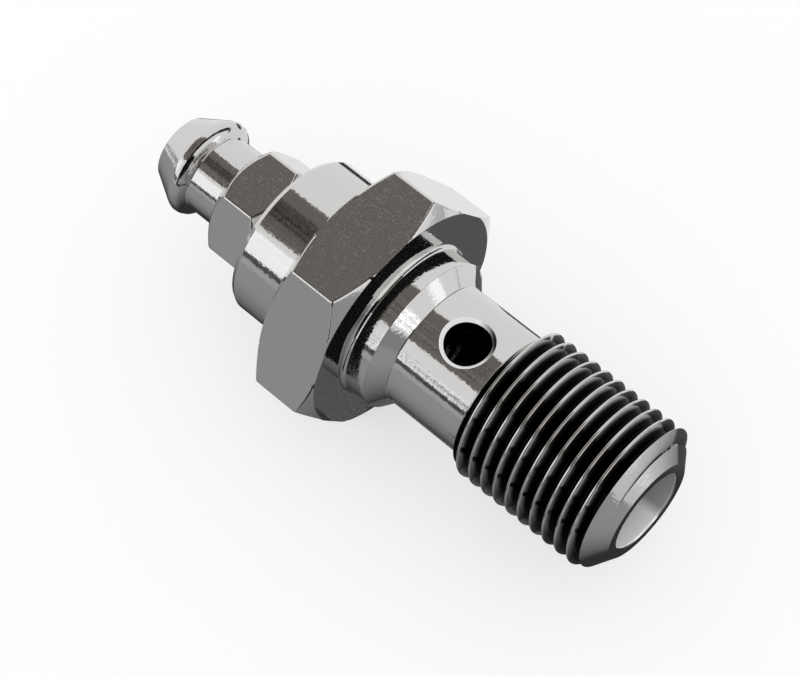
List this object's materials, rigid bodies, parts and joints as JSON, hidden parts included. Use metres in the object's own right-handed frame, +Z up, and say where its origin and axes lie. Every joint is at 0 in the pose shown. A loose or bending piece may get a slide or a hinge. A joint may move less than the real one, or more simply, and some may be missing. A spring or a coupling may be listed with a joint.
{
  "type": "banjo bolt",
  "caption": "Hexagon-head banjo bolt with a cross-drilled hollow shank, a fine thread and a bleed nipple screwed into the boss on its head.",
  "frame": {"origin": "centre of the bearing face under the head, where the bolt's axis meets it", "axes": "+X along the bolt's axis towards the thread end, +Z up, square to the upper flat of the hexagon, as the bolt lies on the opposite flat; the cross drilling runs along Z"},
  "size_m": [0.0375, 0.0174, 0.015],
  "materials": {
    "nickel_plate": "polished nickel plate on steel, with fine handling marks"
  },
  "bodies": {
    "bolt": {"bolt_body": "nickel_plate"},
    "nipple": {"bleed_nipple": "nickel_plate"}
  },
  "joints": [
    {"name": "nipple_turn", "type": "hinge", "parent": "bolt", "child": "nipple", "pos_m": [-0.009, 0, 0], "axis": [-1, 0, 0], "range_deg": [0, 270]}
  ]
}
